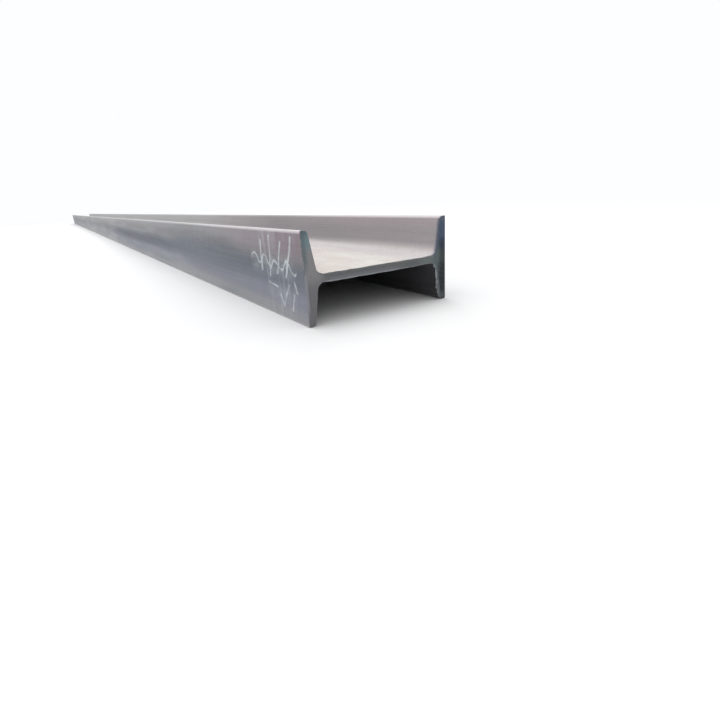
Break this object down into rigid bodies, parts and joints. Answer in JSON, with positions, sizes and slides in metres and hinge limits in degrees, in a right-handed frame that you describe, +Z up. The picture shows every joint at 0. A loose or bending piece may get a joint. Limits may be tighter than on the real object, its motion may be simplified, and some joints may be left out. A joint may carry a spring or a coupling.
{
  "type": "steel i-beam",
  "caption": "Hot-rolled steel I-beam with tapered flanges, round-nosed toes and saw-cut ends, lying on its flange toes with the web level, used as a floor, roof or frame member.",
  "frame": {"origin": "on the floor, under the middle of the beam, which lies on its flange toes", "axes": "+X across the section from one flange to the other, +Y along the length, +Z up, square to the web"},
  "size_m": [0.18, 6, 0.094],
  "materials": {
    "mill_scale_steel": "blue-grey mill scale as rolled, satin, streaked along the length, with bare saw-cut ends and a little rust"
  },
  "bodies": {
    "root": {"i_beam": "mill_scale_steel"}
  },
  "joints": []
}
